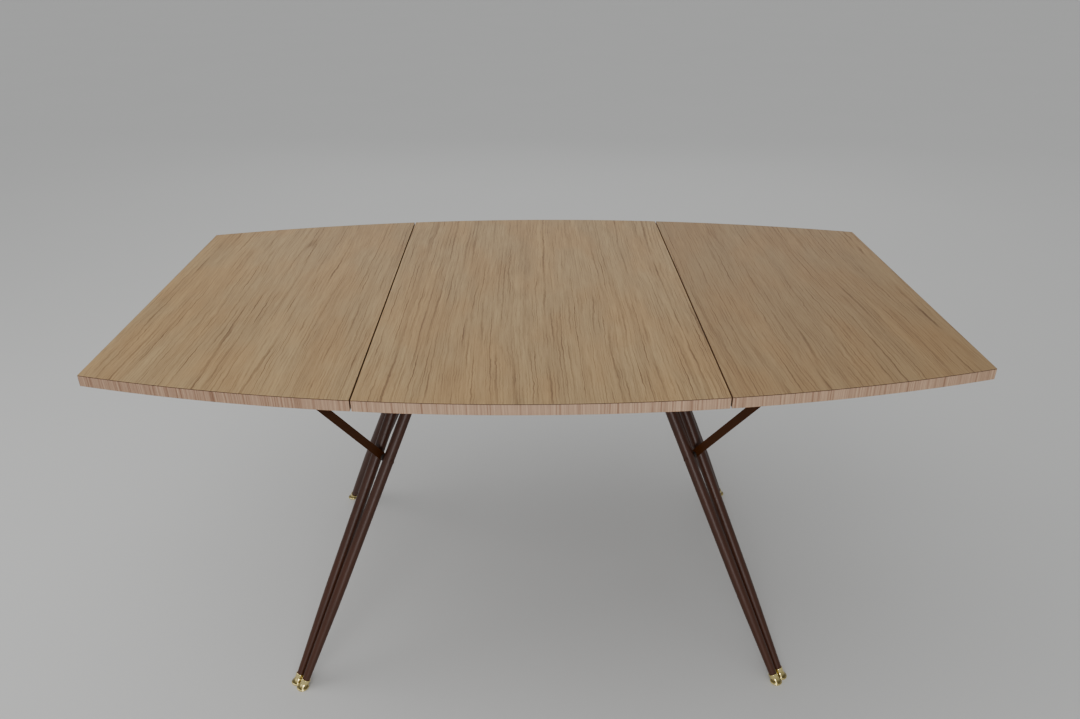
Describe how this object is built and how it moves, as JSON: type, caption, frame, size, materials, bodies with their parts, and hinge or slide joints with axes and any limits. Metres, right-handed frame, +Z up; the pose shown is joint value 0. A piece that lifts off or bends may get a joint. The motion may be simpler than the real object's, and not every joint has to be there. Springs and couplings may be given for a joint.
{
  "type": "drop-leaf dining table",
  "caption": "Drop-leaf dining table with a boat-shaped wood-grain top, hinged end leaves, splayed tapered legs of paired tubes, brass feet and folding braces.",
  "frame": {"origin": "on the floor under the middle of the top", "axes": "+X along the table, from the left leaf to the right leaf; +Y to the back; +Z up"},
  "size_m": [1.528, 0.9148, 0.75],
  "materials": {
    "grain_sheet": "satin wood-grain laminate",
    "edge_strip": "satin wood-grain laminate",
    "board": "raw board",
    "backing_sheet": "dull brown",
    "brown_paint": "satin dark brown enamel",
    "brass_foot": "polished",
    "steel": "plated",
    "nylon": "dull black"
  },
  "bodies": {
    "base": {"back_left_foot": "brass_foot", "back_left_inner_tube": "brown_paint", "back_left_outer_tube": "brown_paint", "back_right_foot": "brass_foot", "back_right_inner_tube": "brown_paint", "back_right_outer_tube": "brown_paint", "base_screws": "steel", "centre_back_edge": "edge_strip", "centre_backer": "backing_sheet", "centre_core": "board", "centre_front_edge": "edge_strip", "centre_left_seam_edge": "edge_strip", "centre_right_seam_edge": "edge_strip", "centre_top_sheet": "grain_sheet", "front_left_foot": "brass_foot", "front_left_inner_tube": "brown_paint", "front_left_outer_tube": "brown_paint", "front_right_foot": "brass_foot", "front_right_inner_tube": "brown_paint", "front_right_outer_tube": "brown_paint", "hinge_pins": "steel", "left_hinge_fixed_leaves": "steel", "left_leg_plate": "brown_paint", "pivot_rivets": "steel", "pivot_spacers": "nylon", "right_hinge_fixed_leaves": "steel", "right_leg_plate": "brown_paint"},
    "back_left_brace_arm": {"back_left_brace": "brown_paint"},
    "left_leaf_board": {"back_left_catch": "brown_paint", "front_left_catch": "brown_paint", "left_hinge_moving_leaves": "steel", "left_leaf_back_edge": "edge_strip", "left_leaf_backer": "backing_sheet", "left_leaf_core": "board", "left_leaf_end_edge": "edge_strip", "left_leaf_front_edge": "edge_strip", "left_leaf_screws": "steel", "left_leaf_seam_edge": "edge_strip", "left_leaf_top_sheet": "grain_sheet"},
    "back_right_brace_arm": {"back_right_brace": "brown_paint"},
    "right_leaf_board": {"back_right_catch": "brown_paint", "front_right_catch": "brown_paint", "right_hinge_moving_leaves": "steel", "right_leaf_back_edge": "edge_strip", "right_leaf_backer": "backing_sheet", "right_leaf_core": "board", "right_leaf_end_edge": "edge_strip", "right_leaf_front_edge": "edge_strip", "right_leaf_screws": "steel", "right_leaf_seam_edge": "edge_strip", "right_leaf_top_sheet": "grain_sheet"},
    "front_left_brace_arm": {"front_left_brace": "brown_paint"},
    "front_right_brace_arm": {"front_right_brace": "brown_paint"}
  },
  "joints": [
    {"name": "left_leaf_hinge", "type": "hinge", "parent": "base", "child": "left_leaf_board", "pos_m": [-0.3, 0, 0.7263], "axis": [0, -1, 0], "range_deg": [0, 75]},
    {"name": "right_leaf_hinge", "type": "hinge", "parent": "base", "child": "right_leaf_board", "pos_m": [0.3, 0, 0.7263], "axis": [0, 1, 0], "range_deg": [0, 75]},
    {"name": "front_left_brace_pivot", "type": "hinge", "parent": "base", "child": "front_left_brace_arm", "pos_m": [-0.31654, -0.15183, 0.45], "axis": [0.6886, -0.7251, 0], "range_deg": [0, 114.6]},
    {"name": "back_left_brace_pivot", "type": "hinge", "parent": "base", "child": "back_left_brace_arm", "pos_m": [-0.31654, 0.15183, 0.45], "axis": [-0.6886, -0.7251, 0], "range_deg": [0, 114.6]},
    {"name": "front_right_brace_pivot", "type": "hinge", "parent": "base", "child": "front_right_brace_arm", "pos_m": [0.31654, -0.15183, 0.45], "axis": [0.6886, 0.7251, 0], "range_deg": [0, 114.6]},
    {"name": "back_right_brace_pivot", "type": "hinge", "parent": "base", "child": "back_right_brace_arm", "pos_m": [0.31654, 0.15183, 0.45], "axis": [-0.6886, 0.7251, 0], "range_deg": [0, 114.6]}
  ],
  "couplings": [
    {"joint": "front_left_brace_pivot", "follows": "left_leaf_hinge", "ratio": 1.5229},
    {"joint": "back_left_brace_pivot", "follows": "left_leaf_hinge", "ratio": 1.5229},
    {"joint": "front_right_brace_pivot", "follows": "right_leaf_hinge", "ratio": 1.5229},
    {"joint": "back_right_brace_pivot", "follows": "right_leaf_hinge", "ratio": 1.5229}
  ]
}
